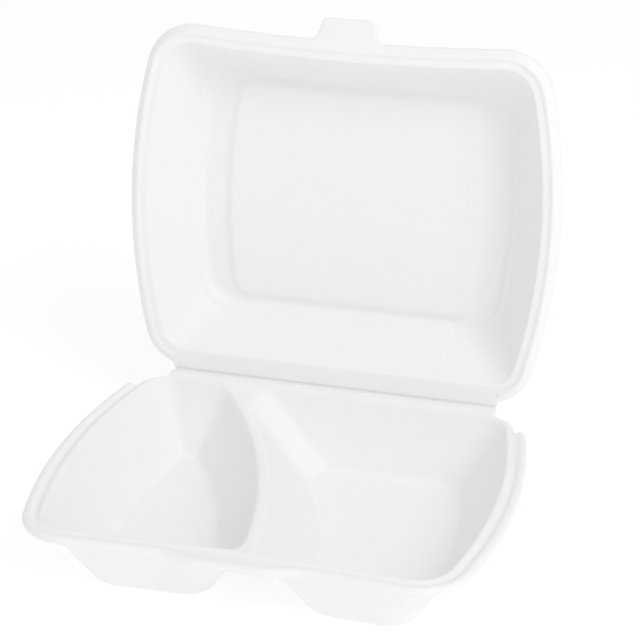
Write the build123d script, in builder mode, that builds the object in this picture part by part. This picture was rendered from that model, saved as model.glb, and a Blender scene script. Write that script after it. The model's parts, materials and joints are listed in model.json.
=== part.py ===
from build123d import *
import os
from math import cos, radians, sin, sqrt

# Two-compartment foam clamshell, standing open. Sizes in millimetres.
# Working frame: X runs along the hinge crease, the front is -Y and Z = 0 is the level of the crease.
# "Inset" is a distance inwards from the rim's plain outline, "depth" is a distance below the crease,
# and "height" is the same above it in the closed lid.

# Foam sheet
foam = 2.3
wall_growth = 2.6
running_gap = 0.15

# Rim outline, shared by base and lid
rim_width = 240.0
rim_reach = 197.0
side_bow_radius = 325.0
front_bow_radius = 1160.0
front_corner_radius = 28.0
rear_corner_radius = 26.0
crease_half_length = 92.0

# Rim of the base: raised bead, channel, inner lip
channel_depth = 1.8
bead_width = 5.2
bead_start = 24.0
bead_height = 1.8
lip_start = 6.7
lip_width = 3.3
lip_foot_width = 5.4
lip_height = 1.4

# Front ledge that takes the tab
ledge_root_width = 72.0
ledge_front_width = 36.0
ledge_reach = 5.2
ledge_rounding = 14.0
slit_width = 42.0
slit_gap = 1.0

# Compartments
floor_depth = 39.0
floor_half_width = 86.0
floor_front = 166.5
left_floor_rear = 29.0
right_floor_rear = 24.5
floor_outer_corner = 15.0
floor_divider_corner = 12.0
left_floor_tip_corner = 3.6
mouth_divider_corner = 13.0
floor_rounding = 5.0

# Folded divider between them
ridge_depth = 3.0
ridge_width = 5.0
ridge_front_x = 4.1
ridge_rear_x = -55.1
ridge_end_start = 0.5
ridge_end_run = 2.0
ridge_rounding = 1.9
ridge_fold = 2.6
left_flank_run = 20.5
right_flank_run = 27.0

# Rim of the lid, as a section seen with the lid closed
lid_edge_inset = 1.2
lid_edge_height = 2.6
tongue_inset = 5.4
tongue_width = 0.8
tongue_drop = 1.2
band_inset = 7.2
band_height = 0.2
lid_wall_inset = 11.6
lid_step_height = 0.8
lid_strip_reach = 8.0

# Lid dome
lip_line_height = 29.0
lip_line_half_width = 91.0
lip_line_rear = 29.0
lip_line_front = 170.5
lip_line_corner = 17.0
lip_line_ledge = 1.2
frame_height = 34.0
frame_step_run = 3.4
frame_rounding = 2.0
panel_height = 31.5
panel_half_width = 70.5
panel_rear = 38.5
panel_front = 159.0
panel_corner = 8.0
panel_step_run = 3.0
panel_rounding = 2.5

# Tab on the lid's front edge
tab_root_width = 37.0
tab_tip_width = 23.0
tab_reach = 12.0
tab_rounding = 4.5

# The lid stands open at this angle from closed
open_angle = 96.0


UP = Vector(0, 0, 1)


def between(start, end, share):
    """Value that lies this share of the way from start to end."""
    return start + (end - start) * share


def arc_sag(radius, half_chord):
    """How far an arc's middle stands off its chord."""
    return radius - sqrt(radius**2 - half_chord**2)


def bowed_plan(half_width, rear, front):
    """Four-sided outline with sides that bow out and a front edge that bows in."""
    middle = (rear + front) / 2
    corner_x = half_width - arc_sag(side_bow_radius, middle - rear)
    front_sag = arc_sag(front_bow_radius, corner_x)
    with BuildSketch() as plan:
        with BuildLine():
            ThreePointArc((corner_x, -rear), (half_width, -middle), (corner_x, -front))
            ThreePointArc((corner_x, -front), (0, front_sag - front), (-corner_x, -front))
            ThreePointArc((-corner_x, -front), (-half_width, -middle), (-corner_x, -rear))
            Line((-corner_x, -rear), (corner_x, -rear))
        make_face()
    return plan.sketch


def redrawn(plan):
    """The same outline with every curved edge a true arc."""
    with BuildSketch() as clean:
        with BuildLine():
            for edge in plan.face().outer_wire().edges():
                if edge.geom_type == GeomType.LINE:
                    Line(edge @ 0, edge @ 1)
                else:
                    ThreePointArc(edge @ 0, edge @ 0.5, edge @ 1)
        make_face()
    return clean.sketch


def rounded_plan(outline, rear_corners, front_corners, growth=0.0):
    """The outline with its corners rounded, each pair given from -X to +X."""
    rear = outline.vertices().sort_by(Axis.Y)[-2:].sort_by(Axis.X)
    front = outline.vertices().sort_by(Axis.Y)[:2].sort_by(Axis.X)
    places = [corner.center() for corner in rear + front]
    with BuildSketch() as plan:
        add(outline)
        for place, radius in zip(places, rear_corners + front_corners):
            fillet(plan.vertices().sort_by_distance(place)[0], radius=radius)
        if growth:
            offset(amount=growth, mode=Mode.REPLACE)
    return redrawn(plan.sketch)


def rim_plan(inset=0.0):
    """The rim's plain outline, drawn in by the inset."""
    return rounded_plan(
        bowed_plan(rim_width / 2, 0, rim_reach),
        [rear_corner_radius] * 2,
        [front_corner_radius] * 2,
        -inset,
    )


# The divider's arc meets the rim's front edge square and reaches the rear wall at its given place
ridge_sweep = ridge_front_x - ridge_rear_x
ridge_radius = ((rim_reach - lip_start - lip_width) ** 2 + ridge_sweep**2) / (2 * ridge_sweep)


def divider_side(radius, keep_left):
    """All that lies on one side of the divider's arc, which meets the front edge square."""
    reach = rim_reach * 1.2
    centre_x = ridge_front_x - ridge_radius
    far_x = -rim_width if keep_left else rim_width
    end_x = centre_x + sqrt(radius**2 - reach**2)
    with BuildSketch() as side:
        with BuildLine():
            ThreePointArc(
                (end_x, reach - rim_reach),
                (centre_x + radius, -rim_reach),
                (end_x, -reach - rim_reach),
            )
            Line((end_x, -reach - rim_reach), (far_x, -reach - rim_reach))
            Line((far_x, -reach - rim_reach), (far_x, reach - rim_reach))
            Line((far_x, reach - rim_reach), (end_x, reach - rim_reach))
        make_face()
    return side.sketch


def well_plan(depth, floor_rear, growth=0.0):
    """Sharp outline of the whole well at a depth below the crease."""
    share = depth / floor_depth
    mouth = lip_start + lip_width
    return bowed_plan(
        between(rim_width / 2 - mouth, floor_half_width, share) + growth,
        between(mouth, floor_rear, share) - growth,
        between(rim_reach - mouth, floor_front, share) + growth,
    )


def compartment_plan(depth, keep_left, growth=0.0):
    """Outline of one compartment at a depth below the crease."""
    share = depth / floor_depth
    flank_share = (depth - ridge_depth) / (floor_depth - ridge_depth)
    flank_run = left_flank_run if keep_left else right_flank_run
    away = ridge_width / 2 + flank_run * flank_share
    radius = ridge_radius - away if keep_left else ridge_radius + away
    mouth = lip_start + lip_width
    outer_front = between(front_corner_radius - mouth, floor_outer_corner, share)
    divider_front = between(mouth_divider_corner, floor_divider_corner, share)
    rear_outer_end = left_floor_tip_corner if keep_left else floor_outer_corner
    rear_divider_end = left_floor_tip_corner if keep_left else floor_divider_corner
    outer_rear = between(rear_corner_radius - mouth, rear_outer_end, share)
    divider_rear = between(mouth_divider_corner, rear_divider_end, share)
    with BuildSketch() as outline:
        add(well_plan(depth, left_floor_rear if keep_left else right_floor_rear))
        add(divider_side(radius, keep_left), mode=Mode.INTERSECT)
    rear = [outer_rear, divider_rear]
    front = [outer_front, divider_front]
    if not keep_left:
        rear.reverse()
        front.reverse()
    return rounded_plan(outline.sketch, rear, front, growth)


def tub(keep_left, top_depth, bottom_depth, growth, rounding):
    """Tapered body of one compartment with a rounded floor edge."""
    with BuildPart() as body:
        with BuildSketch(Plane.XY.offset(-top_depth)):
            add(compartment_plan(top_depth, keep_left, growth))
        with BuildSketch(Plane.XY.offset(-bottom_depth)):
            add(compartment_plan(bottom_depth, keep_left, growth))
        loft()
        fillet(body.faces().sort_by(Axis.Z)[0].edges(), radius=rounding)
    return body.part


def dome(sections):
    """Tapered body between two (plane, outline) sections."""
    with BuildPart() as body:
        for plane, outline in sections:
            with BuildSketch(plane):
                add(outline)
        loft()
    return body.part


def section_plane(path, up):
    """Plane square to the path's start, with x towards the middle of the rim and y up."""
    tangent = path % 0
    inward = up.cross(tangent)
    if inward.dot(path.center() - path @ 0) < 0:
        inward = -inward
        tangent = -tangent
    return Plane(origin=path @ 0, x_dir=inward, z_dir=tangent)


def ridge_section(start, width, foot, height):
    """Low arched section that stands on a level foot."""
    with BuildSketch() as section:
        with BuildLine():
            ThreePointArc((start, foot), (start + width / 2, foot + height), (start + width, foot))
            Line((start + width, foot), (start + width, foot - foam / 2))
            Line((start + width, foot - foam / 2), (start, foot - foam / 2))
            Line((start, foot - foam / 2), (start, foot))
        make_face()
    return section.sketch


# Front ledge: the rim bulges forward in the middle
rim_corner_x = rim_width / 2 - arc_sag(side_bow_radius, rim_reach / 2)
front_middle = rim_reach - arc_sag(front_bow_radius, rim_corner_x)
with BuildSketch() as ledge_plan:
    with BuildLine():
        Polyline(
            (-ledge_root_width / 2, -(front_middle - lip_start)),
            (-ledge_root_width / 2, -front_middle),
            (-ledge_front_width / 2, -(front_middle + ledge_reach)),
            (ledge_front_width / 2, -(front_middle + ledge_reach)),
            (ledge_root_width / 2, -front_middle),
            (ledge_root_width / 2, -(front_middle - lip_start)),
            close=True,
        )
    make_face()

with BuildSketch() as bulged_plan:
    add(rim_plan())
    add(ledge_plan.sketch)
    bulge_corners = bulged_plan.vertices().filter_by(
        lambda corner: abs(corner.X) < ledge_root_width / 2 + 1 and corner.Y < -rim_reach / 2
    )
    fillet(bulge_corners, radius=ledge_rounding)

# Level part of the rim, cut back beside the hinge
with BuildSketch() as shelf_plan:
    add(bulged_plan.sketch)
    with Locations((0, -bead_start / 2)):
        Rectangle(rim_width * 1.1, bead_start, mode=Mode.SUBTRACT)
    add(rim_plan(bead_width))
with BuildSketch() as strip_plan:
    with Locations((0, -(lip_start + running_gap) / 2)):
        Rectangle(2 * crease_half_length, lip_start - running_gap)

# Raised bead round three sides
with BuildSketch() as bead_line:
    add(bulged_plan.sketch)
bead_path = bead_line.sketch.face().outer_wire()
with BuildPart() as bead:
    with BuildSketch(section_plane(bead_path, UP)):
        add(ridge_section(0, bead_width, -channel_depth, bead_height))
    sweep(path=bead_path)
    with Locations((0, -bead_start / 2, 0)):
        Box(rim_width * 1.1, bead_start, bead_height * 4, mode=Mode.SUBTRACT)

# Inner lip all the way round
lip_path = rim_plan().face().outer_wire()
with BuildPart() as lip:
    with BuildSketch(section_plane(lip_path, UP)):
        add(ridge_section(lip_start, lip_foot_width, -channel_depth, lip_height))
    sweep(path=lip_path)

# Clearing above the divider's ridge, whose ends slope up into the rim
mouth_corner = front_corner_radius - lip_start
mouth_sections = [
    (Plane.XY.offset(-depth), rounded_plan(
        well_plan(depth, left_floor_rear, -run), [mouth_corner] * 2, [mouth_corner] * 2
    ))
    for depth, run in ((0, ridge_end_start), (ridge_depth, ridge_end_start + ridge_end_run))
]

# Closed fold of the sheet under the divider's ridge
with BuildSketch() as fold_plan:
    add(divider_side(ridge_radius + ridge_width, True))
    add(divider_side(ridge_radius - ridge_width, True), mode=Mode.SUBTRACT)
    add(well_plan(ridge_depth, right_floor_rear), mode=Mode.INTERSECT)

# Slit in the ledge for the tab
slit_y = (front_middle - lip_start + front_middle + ledge_reach - bead_width) / 2

with BuildPart() as base:
    with BuildSketch(Plane.XY.offset(-channel_depth - foam)):
        add(shelf_plan.sketch)
    extrude(amount=foam)
    with BuildSketch(Plane.XY.offset(-running_gap - foam)):
        add(strip_plan.sketch)
    extrude(amount=foam)
    add(bead.part)
    add(lip.part)
    for keep_left in (True, False):
        add(tub(keep_left, channel_depth, floor_depth + foam, wall_growth, floor_rounding + foam))
    with BuildSketch(Plane.XY.offset(-ridge_depth - ridge_fold)):
        add(fold_plan.sketch)
    extrude(amount=ridge_fold + ridge_depth - channel_depth)
    add(dome(mouth_sections), mode=Mode.SUBTRACT)
    for keep_left in (True, False):
        add(tub(keep_left, 0, floor_depth, 0, floor_rounding), mode=Mode.SUBTRACT)
    ridge_edges = base.edges().filter_by(
        lambda edge: abs(edge.center().Z + ridge_depth) < 0.01 and edge.length > floor_front / 2
    )
    fillet(ridge_edges, radius=ridge_rounding)
    with Locations((0, -slit_y, -channel_depth - foam / 2)):
        Box(slit_width, slit_gap, foam * 2, mode=Mode.SUBTRACT)

# Lid, drawn closed over the base and turned open about the crease at the end
def lid_level(height):
    """Plane of the closed lid at a height above the crease."""
    return Plane.XY.offset(height)


with BuildSketch() as rim_section:
    with BuildLine():
        Polyline(
            (lid_edge_inset, lid_edge_height),
            (tongue_inset, -tongue_drop),
            (tongue_inset + tongue_width, -tongue_drop),
            (band_inset, band_height),
            (lid_wall_inset, band_height),
            (lid_wall_inset, band_height + lid_step_height),
            (lid_wall_inset, band_height + foam),
            (band_inset, band_height + foam),
            (tongue_inset + tongue_width, foam - tongue_drop),
            (tongue_inset, foam - tongue_drop),
            (lid_edge_inset, lid_edge_height + foam),
            close=True,
        )
    make_face()

with BuildSketch() as lid_line:
    add(rim_plan())
lid_path = lid_line.sketch.face().outer_wire()


def dome_plan(half_width, rear, front, corner, growth=0.0):
    """Rounded outline of one level of the lid's dome."""
    return rounded_plan(bowed_plan(half_width, rear, front), [corner] * 2, [corner] * 2, growth)


def dome_skin(growth, drop):
    """Space inside the lid's dome, or its outside where it is grown and raised by the foam."""
    wall_top = rim_plan(lid_wall_inset - growth)
    lip_line = dome_plan(
        lip_line_half_width, lip_line_rear, lip_line_front, lip_line_corner, growth
    )
    step = dome_plan(
        lip_line_half_width - lip_line_ledge,
        lip_line_rear + lip_line_ledge,
        lip_line_front - lip_line_ledge,
        lip_line_corner,
        growth,
    )
    run = lip_line_ledge + frame_step_run
    frame = dome_plan(
        lip_line_half_width - run, lip_line_rear + run, lip_line_front - run, lip_line_corner, growth
    )
    with BuildPart() as skin:
        add(dome([(lid_level(band_height + lid_step_height), wall_top),
                  (lid_level(lip_line_height + drop), lip_line)]))
        add(dome([(lid_level(lip_line_height + drop), step),
                  (lid_level(frame_height + drop), frame)]))
        fillet(skin.faces().sort_by(Axis.Z)[-1].edges(), radius=frame_rounding + drop)
    return skin.part


def panel_block(shrink, height):
    """Block of the raised centre panel, its slanted sides run on into the sheet above."""
    slope = panel_step_run / (frame_height - panel_height)
    sections = []
    for rise in (0, frame_height - panel_height + foam / 2):
        spread = rise * slope - shrink
        sections.append((lid_level(height + rise), dome_plan(
            panel_half_width + spread, panel_rear - spread, panel_front + spread, panel_corner
        )))
    with BuildPart() as block:
        add(dome(sections))
        fillet(block.faces().sort_by(Axis.Z)[0].edges(), radius=panel_rounding)
    return block.part


with BuildPart() as lid:
    with BuildSketch(section_plane(lid_path, UP)):
        add(rim_section.sketch)
    sweep(path=lid_path)
    with BuildSketch(lid_level(-tongue_drop * 2)):
        with Locations((0, -lid_strip_reach / 2)):
            Rectangle(2 * crease_half_length, lid_strip_reach)
    extrude(amount=foam * 4, mode=Mode.SUBTRACT)
    with BuildSketch(lid_level(running_gap)):
        with Locations((0, -(lid_wall_inset + running_gap) / 2)):
            Rectangle(2 * crease_half_length, lid_wall_inset - running_gap)
    extrude(amount=foam)
    with BuildSketch(lid_level(lid_edge_height)):
        with BuildLine():
            Polyline(
                (-tab_root_width / 2, -(front_middle - lid_edge_inset * 2)),
                (-tab_root_width / 2, -(front_middle - lid_edge_inset)),
                (-tab_tip_width / 2, -(front_middle - lid_edge_inset + tab_reach)),
                (tab_tip_width / 2, -(front_middle - lid_edge_inset + tab_reach)),
                (tab_root_width / 2, -(front_middle - lid_edge_inset)),
                (tab_root_width / 2, -(front_middle - lid_edge_inset * 2)),
                close=True,
            )
        tab_face = make_face()
        fillet(tab_face.vertices().sort_by(Axis.Y)[:2], radius=tab_rounding)
    extrude(amount=foam)
    add(dome_skin(wall_growth, foam))
    add(dome_skin(0, 0), mode=Mode.SUBTRACT)
    add(panel_block(0, panel_height))
    add(panel_block(foam, panel_height + foam), mode=Mode.SUBTRACT)

opened_lid = lid.part.rotate(Axis.X, -open_angle)

# The origin is the middle of the open box's footprint, on the surface it stands on
whole = base.part.bounding_box().add(opened_lid.bounding_box())
to_origin = Location((0, -(whole.min.Y + whole.max.Y) / 2, floor_depth + foam))

with BuildPart() as placed_base:
    add(base.part.moved(to_origin))
placed_base.part.label = "base"
with BuildPart() as placed_lid:
    add(opened_lid.moved(to_origin))
placed_lid.part.label = "lid"

os.makedirs("parts", exist_ok=True)
export_step(placed_base.part, "parts/base.step")
export_step(placed_lid.part, "parts/lid.step")
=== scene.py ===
"""Foam clamshell meal box, standing open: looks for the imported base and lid."""

import json
import logging
import math
from dataclasses import dataclass, field
from enum import Enum

import bmesh
import bpy
from mathutils import Matrix, Vector

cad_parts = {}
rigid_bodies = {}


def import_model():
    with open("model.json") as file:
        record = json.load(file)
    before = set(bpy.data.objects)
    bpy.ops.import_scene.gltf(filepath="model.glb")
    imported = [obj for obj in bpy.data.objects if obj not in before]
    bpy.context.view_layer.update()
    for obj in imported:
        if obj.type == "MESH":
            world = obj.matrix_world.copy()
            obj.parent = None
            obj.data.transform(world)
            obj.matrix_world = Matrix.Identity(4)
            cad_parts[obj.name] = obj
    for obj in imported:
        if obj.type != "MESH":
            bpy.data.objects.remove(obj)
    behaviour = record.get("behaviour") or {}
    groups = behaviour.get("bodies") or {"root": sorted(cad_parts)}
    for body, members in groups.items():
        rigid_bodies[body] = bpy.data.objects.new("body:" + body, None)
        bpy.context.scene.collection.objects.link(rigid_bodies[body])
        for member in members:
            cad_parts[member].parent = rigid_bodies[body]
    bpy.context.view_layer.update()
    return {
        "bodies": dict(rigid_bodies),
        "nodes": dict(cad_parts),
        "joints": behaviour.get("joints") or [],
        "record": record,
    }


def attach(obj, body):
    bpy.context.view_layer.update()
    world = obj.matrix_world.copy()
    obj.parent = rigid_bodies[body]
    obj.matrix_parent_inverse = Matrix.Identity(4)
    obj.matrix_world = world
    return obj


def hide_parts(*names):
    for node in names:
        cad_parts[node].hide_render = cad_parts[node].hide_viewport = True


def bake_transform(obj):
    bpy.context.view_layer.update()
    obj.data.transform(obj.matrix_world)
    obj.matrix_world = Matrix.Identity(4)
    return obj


LOG = logging.getLogger("foam_box")
MM = 0.001

# Sockets of a colour Mix node, which share their names.
MIX_FACTOR, MIX_FIRST, MIX_SECOND, MIX_RESULT = 0, 6, 7, 2


class Body(Enum):
    """Rigid bodies of the box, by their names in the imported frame."""

    BASE = "base"
    LID = "lid"


def linear(hex_colour: str) -> tuple[float, float, float, float]:
    """Turns an sRGB hex colour into linear light.

    Args:
        hex_colour: Six hex digits, such as "F2F3F4".

    Returns:
        Linear red, green, blue and an alpha of 1.
    """
    parts = [int(hex_colour[i : i + 2], 16) / 255 for i in (0, 2, 4)]
    light = [c / 12.92 if c <= 0.04045 else ((c + 0.055) / 1.055) ** 2.4 for c in parts]
    return (light[0], light[1], light[2], 1.0)


def add_node(
    tree: bpy.types.NodeTree,
    kind: str,
    settings: dict | None = None,
    values: dict | None = None,
    links: dict | None = None,
) -> bpy.types.Node:
    """Adds one shader node with its settings, values and incoming links.

    Args:
        tree: Node tree that gets the node.
        kind: Blender's node type.
        settings: Node properties by name.
        values: Socket values by name or index.
        links: Source sockets by the name or index of the input they feed.

    Returns:
        The new node.
    """
    node = tree.nodes.new(kind)
    for name, value in (settings or {}).items():
        setattr(node, name, value)
    for name, value in (values or {}).items():
        node.inputs[name].default_value = value
    for name, source in (links or {}).items():
        tree.links.new(source, node.inputs[name])
    return node


def new_material(name: str) -> bpy.types.Material:
    """Makes a material with an empty node tree.

    Args:
        name: Name of the material.

    Returns:
        The material.
    """
    material = bpy.data.materials.new(name)
    material.use_nodes = True
    material.node_tree.nodes.clear()
    return material


def add_surface(tree: bpy.types.NodeTree, values: dict, links: dict | None = None) -> None:
    """Adds a Principled shader and makes it the material's surface.

    Args:
        tree: The material's node tree.
        values: Socket values of the shader by name.
        links: Source sockets by the name of the input they feed.
    """
    shader = add_node(tree, "ShaderNodeBsdfPrincipled", None, values, links)
    add_node(tree, "ShaderNodeOutputMaterial", None, None, {"Surface": shader.outputs["BSDF"]})


@dataclass(frozen=True)
class ThermoformedFoam:
    """Expanded polystyrene sheet, thermoformed: white, matte, with a fine cell texture."""

    name: str = "expanded_polystyrene_thermoformed"
    skin: str = "F6F7F7"
    # Colour of the wave hollows: painted shade, a touch darker than the skin.
    painted_hollow_shade: str = "F4F5F6"
    roughness: float = 0.52
    ior: float = 1.45
    cell_mm: float = 0.9
    cell_blend: float = 0.6
    cell_relief_mm: float = 0.04
    peel_mm: float = 7.0
    peel_detail: float = 3.0
    peel_roughness: float = 0.55
    peel_relief_mm: float = 0.10

    def build(self) -> bpy.types.Material:
        """Builds the foam's material.

        Returns:
            The material, with its texture read from Object coordinates.
        """
        material = new_material(self.name)
        tree = material.node_tree
        place = add_node(tree, "ShaderNodeTexCoord").outputs["Object"]
        # Closed cells about 0.4 mm across, drawn twice as coarse so that they show.
        cells = add_node(
            tree,
            "ShaderNodeTexVoronoi",
            {"feature": "SMOOTH_F1"},
            {"Scale": 1 / (self.cell_mm * MM), "Smoothness": self.cell_blend},
            {"Vector": place},
        )
        # The sheet cools over the mould with soft waves a few millimetres long.
        peel = add_node(
            tree,
            "ShaderNodeTexNoise",
            None,
            {
                "Scale": 1 / (self.peel_mm * MM),
                "Detail": self.peel_detail,
                "Roughness": self.peel_roughness,
            },
            {"Vector": place},
        )
        # Painted shade: this tint follows the same noise as the wave relief, so the hollows of the
        # waves are painted a touch darker than the crests.
        tint_with_hollow_shade = add_node(
            tree,
            "ShaderNodeMix",
            {"data_type": "RGBA"},
            {MIX_FIRST: linear(self.painted_hollow_shade), MIX_SECOND: linear(self.skin)},
            {MIX_FACTOR: peel.outputs["Fac"]},
        )
        waves = add_node(
            tree,
            "ShaderNodeBump",
            None,
            {"Strength": 1.0, "Distance": self.peel_relief_mm * MM},
            {"Height": peel.outputs["Fac"]},
        )
        grain = add_node(
            tree,
            "ShaderNodeBump",
            None,
            {"Strength": 1.0, "Distance": self.cell_relief_mm * MM},
            {"Height": cells.outputs["Distance"], "Normal": waves.outputs["Normal"]},
        )
        add_surface(
            tree,
            {"Roughness": self.roughness, "IOR": self.ior},
            {"Base Color": tint_with_hollow_shade.outputs[MIX_RESULT], "Normal": grain.outputs["Normal"]},
        )
        return material


@dataclass(frozen=True)
class StudioPaper:
    """Seamless white studio paper under the box, lit from behind as well."""

    name: str = "seamless_paper"
    colour: str = "BCBCBC"
    roughness: float = 0.9
    glow_colour: str = "FFFFFF"
    glow: float = 0.58

    def build(self) -> bpy.types.Material:
        """Builds the paper's material.

        Returns:
            A plain rough white material.
        """
        material = new_material(self.name)
        add_surface(
            material.node_tree,
            {
                "Base Color": linear(self.colour),
                "Roughness": self.roughness,
                "Emission Color": linear(self.glow_colour),
                "Emission Strength": self.glow,
            },
        )
        return material


def new_piece(name: str, mesh: bmesh.types.BMesh, material: bpy.types.Material) -> bpy.types.Object:
    """Turns a finished bmesh into an object at the origin.

    Args:
        name: Name of the piece.
        mesh: The bmesh, freed here.
        material: Finish of the whole piece.

    Returns:
        The new object.
    """
    data = bpy.data.meshes.new(name)
    mesh.to_mesh(data)
    mesh.free()
    data.materials.append(material)
    piece = bpy.data.objects.new(name, data)
    bpy.context.scene.collection.objects.link(piece)
    return piece


@dataclass(frozen=True)
class Crease:
    """Crease that the lid turns about, with its place in millimetres."""

    y: float = 72.03
    z: float = 41.3
    opened_degrees: float = 96.0

    def place(self) -> Vector:
        """Gives the crease's middle.

        Returns:
            The place, in metres.
        """
        return Vector((0, self.y * MM, self.z * MM))

    def turn(self, degrees: float) -> Matrix:
        """Gives a turn about the crease.

        Args:
            degrees: Turn about +X, positive to close the lid.

        Returns:
            The turn as a matrix.
        """
        move = Matrix.Translation(self.place())
        return move @ Matrix.Rotation(math.radians(degrees), 4, "X") @ move.inverted()


@dataclass
class HingeWeb:
    """Pressed web of foam that carries the lid on the base and bends along the crease."""

    foam: bpy.types.Material
    crease: Crease
    half_length: float = 91.2
    inner_radius: float = 0.95
    outer_radius: float = 1.65
    tail: float = 3.0
    bend_steps: int = 12
    length_steps: int = 24
    sharp_degrees: float = 35.0
    weld_mm: float = 0.001

    def outline(self, mesh: bmesh.types.BMesh) -> list[bmesh.types.BMEdge]:
        """Draws the web's thickness as one edge at the end of its tail in the base.

        Args:
            mesh: The bmesh that gets the edge.

        Returns:
            The edge, in a list.
        """
        ends = [
            mesh.verts.new((-self.half_length * MM, -self.tail * MM, -radius * MM))
            for radius in (self.inner_radius, self.outer_radius)
        ]
        return [mesh.edges.new(ends)]

    def advance(
        self, mesh: bmesh.types.BMesh, line: list[bmesh.types.BMEdge], step: Vector
    ) -> list[bmesh.types.BMEdge]:
        """Extrudes the line straight on.

        Args:
            mesh: The bmesh it lies in.
            line: Edges to extrude.
            step: Way to go, in metres.

        Returns:
            The edges at the far end.
        """
        grown = bmesh.ops.extrude_edge_only(mesh, edges=line)["geom"]
        verts = [g for g in grown if isinstance(g, bmesh.types.BMVert)]
        bmesh.ops.translate(mesh, vec=step, verts=verts)
        return [g for g in grown if isinstance(g, bmesh.types.BMEdge)]

    def section(self, mesh: bmesh.types.BMesh) -> None:
        """Draws the web's bent section: a tail, the turn about the crease and a second tail.

        Args:
            mesh: The bmesh that gets the section's faces, with the crease at the origin.
        """
        turn = math.radians(self.crease.opened_degrees)
        line = self.advance(mesh, self.outline(mesh), Vector((0, self.tail * MM, 0)))
        spun = bmesh.ops.spin(
            mesh,
            geom=line,
            cent=(0, 0, 0),
            axis=(1, 0, 0),
            angle=turn,
            steps=self.bend_steps,
            use_merge=False,
        )["geom_last"]
        line = [g for g in spun if isinstance(g, bmesh.types.BMEdge)]
        self.advance(mesh, line, Vector((0, math.cos(turn), math.sin(turn))) * self.tail * MM)

    def lengthen(self, mesh: bmesh.types.BMesh) -> None:
        """Draws the section out along the crease and cuts it into steps.

        Args:
            mesh: The bmesh that holds the section.
        """
        grown = bmesh.ops.extrude_face_region(mesh, geom=mesh.faces[:])["geom"]
        far = [g for g in grown if isinstance(g, bmesh.types.BMVert)]
        bmesh.ops.translate(mesh, vec=Vector((2 * self.half_length * MM, 0, 0)), verts=far)
        bmesh.ops.remove_doubles(mesh, verts=mesh.verts, dist=self.weld_mm * MM)
        along = [e for e in mesh.edges if abs(e.verts[0].co.x - e.verts[1].co.x) > MM]
        bmesh.ops.subdivide_edges(mesh, edges=along, cuts=self.length_steps, use_grid_fill=True)

    def build(self) -> bpy.types.Object:
        """Bends the web round the crease, with a tail on each side.

        Returns:
            The web's object.
        """
        mesh = bmesh.new()
        self.section(mesh)
        self.lengthen(mesh)
        place = self.crease.place()
        bmesh.ops.translate(mesh, vec=place, verts=mesh.verts)
        bmesh.ops.recalc_face_normals(mesh, faces=mesh.faces)
        for face in mesh.faces:
            face.smooth = True
        for edge in mesh.edges:
            edge.smooth = edge.calc_face_angle(0.0) < math.radians(self.sharp_degrees)
        piece = new_piece("hinge_web", mesh, self.foam)
        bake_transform(piece)
        return piece


@dataclass(frozen=True)
class SoftZone:
    """Box of a shell in its closed place where the moulding is softer, in metres."""

    low: tuple[float, float, float]
    high: tuple[float, float, float]
    fade: float = 0.005

    def share(self, point: Vector) -> float:
        """Tells how far a point takes part in the softening.

        Args:
            point: The point, in metres.

        Returns:
            Nothing outside the zone, rising to 1 within its fade.
        """
        depth = min(min(p - a, b - p) for p, a, b in zip(point, self.low, self.high))
        return max(0.0, min(1.0, depth / self.fade))


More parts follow.
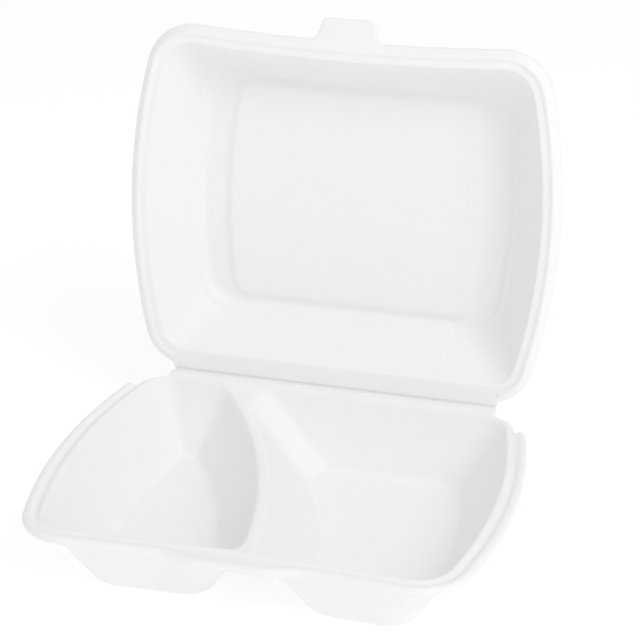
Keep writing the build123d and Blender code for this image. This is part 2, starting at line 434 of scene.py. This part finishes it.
@dataclass
class MouldedShell:
    """One moulded half of the box, its edges softened as pressed foam's are."""

    node: bpy.types.Object
    body: Body
    foam: bpy.types.Material
    crease: Crease
    opened_degrees: float = 0.0
    zone: SoftZone | None = None
    tab_reach: tuple[float, float] = (196.0, 204.0)
    tab_half_width: float = 20.0
    tab_flare: float = 0.20
    weld_mm: float = 0.01
    voxel_mm: float = 0.8
    quick_voxel_mm: float = 1.6
    smoothing: float = 0.5
    edge_rounds: int = 4
    zone_rounds: int = 60
    most_triangles: int = 190000

    def copy_node(self) -> bpy.types.Object:
        """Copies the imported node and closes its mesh.

        Returns:
            The copy, as a new object at the origin.
        """
        mesh = bmesh.new()
        mesh.from_mesh(self.node.data)
        bmesh.ops.remove_doubles(mesh, verts=mesh.verts, dist=self.weld_mm * MM)
        return new_piece(f"{self.body.value}_shell", mesh, self.foam)

    def apply(self, piece: bpy.types.Object, kind: str, settings: dict) -> None:
        """Adds one modifier and applies it to the piece's mesh.

        Args:
            piece: The shell's object.
            kind: Blender's modifier type.
            settings: The modifier's properties by name.
        """
        modifier = piece.modifiers.new(kind.lower(), kind)
        for name, value in settings.items():
            setattr(modifier, name, value)
        graph = bpy.context.evaluated_depsgraph_get()
        finished = bpy.data.meshes.new_from_object(piece.evaluated_get(graph))
        piece.modifiers.clear()
        piece.data = finished

    def soften_zone(self, piece: bpy.types.Object) -> None:
        """Rounds the moulding more inside the soft zone.

        Args:
            piece: The shell's object, in its closed place.
        """
        group = piece.vertex_groups.new(name="soft_zone")
        for vert in piece.data.vertices:
            share = self.zone.share(vert.co)
            if share > 0:
                group.add([vert.index], share, "REPLACE")
        settings = {
            "factor": self.smoothing,
            "iterations": self.zone_rounds,
            "vertex_group": "soft_zone",
        }
        self.apply(piece, "SMOOTH", settings)
        piece.vertex_groups.clear()

    def flare_tab(self, data: bpy.types.Mesh) -> None:
        """Widens the tip of the lid's tab, whose corners are fuller than its root.

        Args:
            data: The lid's mesh, in its closed place.
        """
        start, end = self.tab_reach
        for vert in data.vertices:
            reach = self.crease.y - vert.co.y / MM
            if reach > start and abs(vert.co.x) < self.tab_half_width * MM:
                vert.co.x *= 1 + self.tab_flare * min(1.0, (reach - start) / (end - start))

    def build(self) -> bpy.types.Object:
        """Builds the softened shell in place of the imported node.

        The even skin is laid in the shell's closed place, where its walls lie along the axes.

        Returns:
            The shell's object.
        """
        piece = self.copy_node()
        piece.data.transform(self.crease.turn(self.opened_degrees))
        voxel = self.voxel_mm * MM
        self.apply(piece, "REMESH", {"mode": "VOXEL", "voxel_size": voxel})
        self.apply(piece, "SMOOTH", {"factor": self.smoothing, "iterations": self.edge_rounds})
        if self.zone:
            self.soften_zone(piece)
            self.flare_tab(piece.data)
        triangles = 2 * len(piece.data.polygons)
        if triangles > self.most_triangles:
            self.apply(piece, "DECIMATE", {"ratio": self.most_triangles / triangles})
        piece.data.transform(self.crease.turn(-self.opened_degrees))
        piece.data.polygons.foreach_set("use_smooth", [True] * len(piece.data.polygons))
        LOG.info("%s has %d faces", piece.name, len(piece.data.polygons))
        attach(piece, self.body.value)
        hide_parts(self.body.value)
        return piece


@dataclass
class FoamBox:
    """The box itself: two moulded shells and the web between them."""

    frame: dict
    foam: bpy.types.Material
    crease: Crease = Crease()
    panel_zone: SoftZone = SoftZone((-0.083, -0.097, 0.070), (0.083, 0.044, 0.082))
    pieces: list[str] = field(default_factory=list)

    def build(self) -> None:
        """Builds both shells and the hinge web."""
        nodes = self.frame["nodes"]
        base = MouldedShell(nodes["base"], Body.BASE, self.foam, self.crease)
        lid = MouldedShell(
            nodes["lid"],
            Body.LID,
            self.foam,
            self.crease,
            self.crease.opened_degrees,
            self.panel_zone,
        )
        self.pieces = [base.build().name, lid.build().name]
        self.pieces.append(HingeWeb(self.foam, self.crease).build().name)


@dataclass(frozen=True)
class SoftBox:
    """Square soft box, with its place and side in metres and its power in watts."""

    name: str
    place: tuple[float, float, float]
    power: float
    side: float = 1.0

    def build(self, aim: Vector) -> bpy.types.Object:
        """Hangs the soft box.

        Args:
            aim: What it points at, in metres.

        Returns:
            The lamp's object.
        """
        lamp = bpy.data.lights.new(self.name, "AREA")
        lamp.size = self.side
        lamp.energy = self.power
        holder = bpy.data.objects.new(self.name, lamp)
        holder.location = self.place
        turn = (aim - Vector(self.place)).to_track_quat("-Z", "Y")
        holder.rotation_euler = turn.to_euler()
        bpy.context.scene.collection.objects.link(holder)
        return holder


@dataclass
class Studio:
    """White floor, soft boxes and a pale surround."""

    paper: bpy.types.Material
    floor_size: float = 12.0
    floor_drop_mm: float = 0.2
    surround: str = "FFFFFF"
    surround_strength: float = 0.68
    aim: tuple[float, float, float] = (0.0, 0.0, 0.08)
    soft_boxes: tuple[SoftBox, ...] = (
        SoftBox("key", (1.05, -0.95, 1.4), 10.5),
        SoftBox("overhead", (-0.2, 0.0, 1.8), 1.5),
    )
    lamps: list[str] = field(default_factory=list)

    def add_floor(self) -> None:
        """Lays the paper floor just under the box's feet."""
        mesh = bmesh.new()
        bmesh.ops.create_grid(mesh, x_segments=1, y_segments=1, size=self.floor_size / 2)
        floor = new_piece("studio_floor", mesh, self.paper)
        floor.location.z = -self.floor_drop_mm * MM

    def add_surround(self) -> None:
        """Lights the scene evenly from all round."""
        world = bpy.data.worlds.new("pale_surround")
        world.use_nodes = True
        background = world.node_tree.nodes["Background"]
        background.inputs["Color"].default_value = linear(self.surround)
        background.inputs["Strength"].default_value = self.surround_strength
        bpy.context.scene.world = world

    def build(self) -> None:
        """Builds the floor, the surround and the lamps."""
        self.add_floor()
        self.add_surround()
        self.lamps = [box.build(Vector(self.aim)).name for box in self.soft_boxes]


@dataclass(frozen=True)
class PhotoCamera:
    """Camera that sees the box as the photograph does, placed in metres."""

    place: tuple[float, float, float] = (0.24232, -0.89668, 0.52282)
    forward: tuple[float, float, float] = (-0.22837, 0.88577, -0.40405)
    roll_degrees: float = 0.66
    focal_pixels: float = 2011.6
    picture_pixels: int = 640
    sensor_mm: float = 36.0
    far_limit: float = 50.0

    def build(self) -> bpy.types.Object:
        """Places the camera and makes it the scene's own.

        Returns:
            The camera's object.
        """
        data = bpy.data.cameras.new("photo_camera")
        data.sensor_width = self.sensor_mm
        data.lens = self.focal_pixels * self.sensor_mm / self.picture_pixels
        data.clip_end = self.far_limit
        camera = bpy.data.objects.new("photo_camera", data)
        turn = Vector(self.forward).to_track_quat("-Z", "Y").to_matrix().to_4x4()
        roll = Matrix.Rotation(math.radians(self.roll_degrees), 4, "Z")
        camera.matrix_world = Matrix.Translation(self.place) @ turn @ roll
        bpy.context.scene.collection.objects.link(camera)
        bpy.context.scene.camera = camera
        return camera


def main() -> None:
    """Builds the dressed box and its studio, and reports each piece."""
    logging.basicConfig(level=logging.INFO, format="%(message)s")
    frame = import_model()
    box = FoamBox(frame, ThermoformedFoam().build())
    box.build()
    for name in box.pieces:
        LOG.info("piece %s", name)
    studio = Studio(StudioPaper().build())
    studio.build()
    for name in studio.lamps:
        LOG.info("lamp %s", name)
    camera = PhotoCamera().build()
    LOG.info("camera %s", camera.name)
    scene = bpy.context.scene
    scene.view_settings.view_transform = "Standard"


if __name__ == "__main__":
    main()
